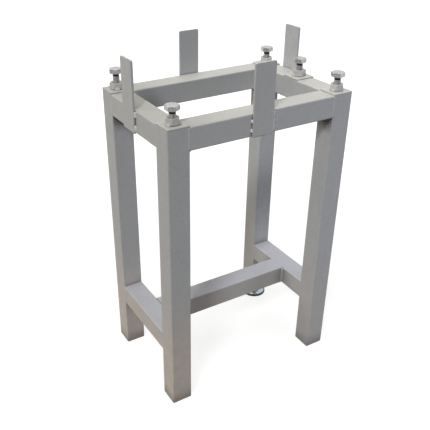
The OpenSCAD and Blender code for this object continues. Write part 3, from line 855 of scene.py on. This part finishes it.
def make_guides(material, shadow_lined):
    for name, axis in (("front", 0), ("rear", 0), ("left", 1), ("right", 1)):
        node = "guide_" + name
        centre, low, high = middle(node)
        half, thick = (high[axis] - low[axis]) / 2, (high[1 - axis] - low[1 - axis]) / 2
        radius, height = GUIDE_CORNER, high.z - low.z
        outline = [(-half, 0), (half, 0)]
        for i in range(7):
            a = math.pi / 2 * i / 6
            outline.append((half - radius + radius * math.cos(a), height - radius + radius * math.sin(a)))
        for i in range(7):
            a = math.pi / 2 * (1 + i / 6)
            outline.append((-half + radius + radius * math.cos(a), height - radius + radius * math.sin(a)))
        rings = []
        for side in (-1, 1):
            points = []
            for u, v in outline:
                p = Vector((0, 0, low.z + v))
                p[axis] = centre[axis] + u
                p[1 - axis] = centre[1 - axis] + side * thick
                points.append(p)
            rings.append(points)
        # the front and left guides carry the painted shadow line along their lower edge
        chosen = shadow_lined if name in ("front", "left") else material
        make(node + "_piece", [skin(rings, True, True)], chosen, "frame", (node,), bevel=0.45 * MM)


# ---- levelling foot ----

BALL, SOCKET = 7 * MM, 7.3 * MM  # radii
STUD_NECK, STUD_MAJOR, STUD_PITCH, STUD_FLATS = 4.5 * MM, 7.95 * MM, 2 * MM, 13 * MM
FOOT_NUT_FLATS = 24 * MM
PAD_RISE, PAD_LIP, HUB, HUB_FILLET = 8 * MM, 1.5 * MM, 12.5 * MM, 2.3 * MM
GROOVE_DEPTH, TREAD = 1.2 * MM, 5.6 * MM  # the sole's moulded rings


def make_stud(material):
    """Stud with its ball, neck, two spanner flats and thread. Returns the height of the ball's middle."""
    centre, low, high = middle("foot_stud")
    ball = low.z + BALL
    shoulder, flats_top = ball + 7.5 * MM, ball + 14.5 * MM
    count = 48
    rings = []
    for i in range(13):
        a = -math.pi / 2 + (math.pi / 2 + math.acos(STUD_NECK / BALL)) * i / 12
        rings.append(ring(centre, [max(BALL * math.cos(a), 1e-5)] * count, ball + BALL * math.sin(a)))
    rings.append(ring(centre, [STUD_NECK] * count, shoulder - 0.8 * MM))
    rings.append(ring(centre, [STUD_NECK + 0.6 * MM] * count, shoulder))
    sines = [max(abs(math.sin(2 * math.pi * i / count)), 1e-3) for i in range(count)]
    flats = [min(STUD_MAJOR, STUD_FLATS / 2 / sine) for sine in sines]
    rings.append(ring(centre, [min(r, 6.6 * MM) for r in flats], shoulder))
    rings.append(ring(centre, flats, shoulder + 1.3 * MM))
    rings.append(ring(centre, flats, flats_top))
    rings.append(ring(centre, [6.4 * MM] * count, flats_top + 0.05 * MM))
    shells = [skin(rings), thread(centre, STUD_MAJOR, STUD_PITCH, flats_top, high.z),
              disc(centre, core(STUD_MAJOR, STUD_PITCH), high.z)]
    make("foot_stud_piece", shells, material, "stud", ("foot_stud",), bevel=0.2 * MM, sharp=50)
    return ball


def pad_profile(reach, low, top, ball):
    """Half section of the pressed pad: rolled lip, shallow dome, upright hub and ball socket."""
    rim = reach - 0.5 * MM
    profile = [(8.5 * MM, low + 0.2 * MM), (reach - 1.2 * MM, low), (reach - 0.3 * MM, low + 0.25 * MM),
               (reach, low + 0.8 * MM), (rim, low + PAD_LIP)]
    dome = (reach * reach + PAD_RISE ** 2) / (2 * PAD_RISE)
    for i in range(1, 12):
        r = rim + (HUB + HUB_FILLET - rim) * i / 11
        profile.append((r, low + PAD_LIP + PAD_RISE - dome + math.sqrt(dome * dome - r * r)))
    foot = profile[-1][1]
    for i in range(1, 7):
        a = math.pi / 2 * i / 6
        profile.append((HUB + HUB_FILLET - HUB_FILLET * math.sin(a), foot + HUB_FILLET * (1 - math.cos(a))))
    profile += [(HUB, top - 1.4 * MM), (HUB - 0.3 * MM, top - 0.5 * MM), (HUB - 1.1 * MM, top),
                (7.6 * MM, top), (6.6 * MM, top - 0.25 * MM)]
    for i in range(9):
        a = math.radians(32 - 90 * i / 8)
        profile.append((SOCKET * math.cos(a), ball + SOCKET * math.sin(a)))
    return profile


def sole_profile(reach, low, top):
    """Half section of the rubber sole, with five moulded rings under it."""
    profile = [(1e-5, low + GROOVE_DEPTH)]
    for i in range(5):
        inner = 5 * MM + TREAD * i
        profile += [(inner, low + GROOVE_DEPTH), (inner + 0.4 * MM, low), (inner + 3.6 * MM, low),
                    (inner + 4 * MM, low + GROOVE_DEPTH)]
    return profile + [(reach - 3.2 * MM, low + GROOVE_DEPTH), (reach - 2.8 * MM, low), (reach - 0.8 * MM, low),
                      (reach, low + 0.8 * MM), (reach, top - 1.3 * MM), (reach - 0.4 * MM, top - 0.4 * MM),
                      (reach - 1.3 * MM, top), (1e-5, top)]


def make_foot(zinc, polished, rubber):
    ball = make_stud(zinc)
    centre, low, high = middle("foot_lock_nut")
    nut = hexagon_nut(centre, low.z, high.z, FOOT_NUT_FLATS, STUD_MAJOR, math.radians(12))
    make("foot_lock_nut_piece", [nut], zinc, "stud_nut", ("foot_lock_nut",), bevel=0.3 * MM)
    centre, low, high = middle("foot_pad")
    pad = lathe(centre, pad_profile((high.x - low.x) / 2, low.z, high.z, ball), 96)
    make("foot_pad_piece", [pad], polished, "foot", ("foot_pad",), sharp=60)
    centre, low, high = middle("foot_sole")
    sole = lathe(centre, sole_profile((high.x - low.x) / 2, low.z, high.z), 96)
    make("foot_sole_piece", [sole], rubber, "foot", ("foot_sole",), sharp=50)


# ---- the whole ----

place_camera()
light_world()
lay_floor()
# place, aim, size, power in watts and colour
STUDIO = {"key": ((-5.75, -4.63, 7.3), (0, 0, 0.5), (2.0, 2.0), 431, (0.970, 0.979, 1.0)),
          "overhead": ((0.5, 0.7, 7.0), (0, 0, 0.5), (6.0, 6.0), 240, (1.0, 0.990, 0.935)),
          "right": ((6.0, 0.5, 2.2), (0, 0, 0.5), (4.0, 4.0), 10, (0.7, 0.8, 1.0)),
          "left_rear": ((-6.0, 3.6, 3.3), (0, 0, 0.5), (3.7, 3.7), 131, (1.0, 0.915, 0.771))}
FILLS = {"near_front": ((1.2, -1.3, 0.45), (0.2, 0, 0.4), (0.8, 0.8), 3.8, (0.700, 0.768, 1.0)),
         "near_left": ((-0.75, -1.3, 0.35), (0.2, 0, 0.4), (0.7, 0.5), 0.87, (1.0, 0.990, 0.860))}
for name, given in STUDIO.items():
    area_lamp(name, *given)
for name, given in FILLS.items():
    # a fill so near would show as a spot in the bolts
    area_lamp(name, *given).visible_glossy = False

enamel = grey_enamel("grey_enamel", (0.560, 0.574, 0.588), 0.5)
# enamel with a painted shadow line along the rails' lower edge
shadow_line_enamel = grey_enamel("shadow_line_enamel", (0.572, 0.582, 0.594), 0.5, 1.0, 1.0, RAIL_BOTTOM)
# painted light: a lighter copy of the frame's enamel for the plates
lit_plate_enamel = grey_enamel("lit_plate_enamel", (0.600, 0.606, 0.612), 0.5, 0.6, 0.1)
guide_enamel = grey_enamel("guide_enamel", (0.555, 0.568, 0.585), 0.5, 0.6, 0.1)
# painted highlight: a much lighter copy of the frame's enamel for the guide welds
highlit_bead_enamel = grey_enamel("highlit_bead_enamel", (0.86, 0.86, 0.87), 1.0, 0.2, 0.2)
# painted highlight: a slightly lighter copy of the frame's enamel for the welds
highlit_weld_enamel = grey_enamel("highlit_weld_enamel", (0.585, 0.595, 0.61), 1.0)
zinc = dipped_zinc()
foot_axis = middle("foot_pad")[0]
polished = polished_steel((foot_axis.x, foot_axis.y, 0))
rubber = moulded_rubber()
bush = turned_steel()

# the CAD pieces that keep their own mesh
for name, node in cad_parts.items():
    material = bush if name == "foot_bush" else enamel
    for slot in node.material_slots:
        slot.material = material

make_screws(zinc, shaded_oiled_steel())
make_nuts(grey_enamel("nut_enamel", (0.62, 0.625, 0.63), 0.5, 0.15))
make_guide_welds(highlit_bead_enamel)
make_tube_welds(highlit_weld_enamel)
make_nut_welds(highlit_weld_enamel)
make_cap_plates(lit_plate_enamel)
make_guides(guide_enamel, shadow_line_enamel)
make_foot(zinc, polished, rubber)

bpy.context.scene.view_settings.view_transform = "Standard"
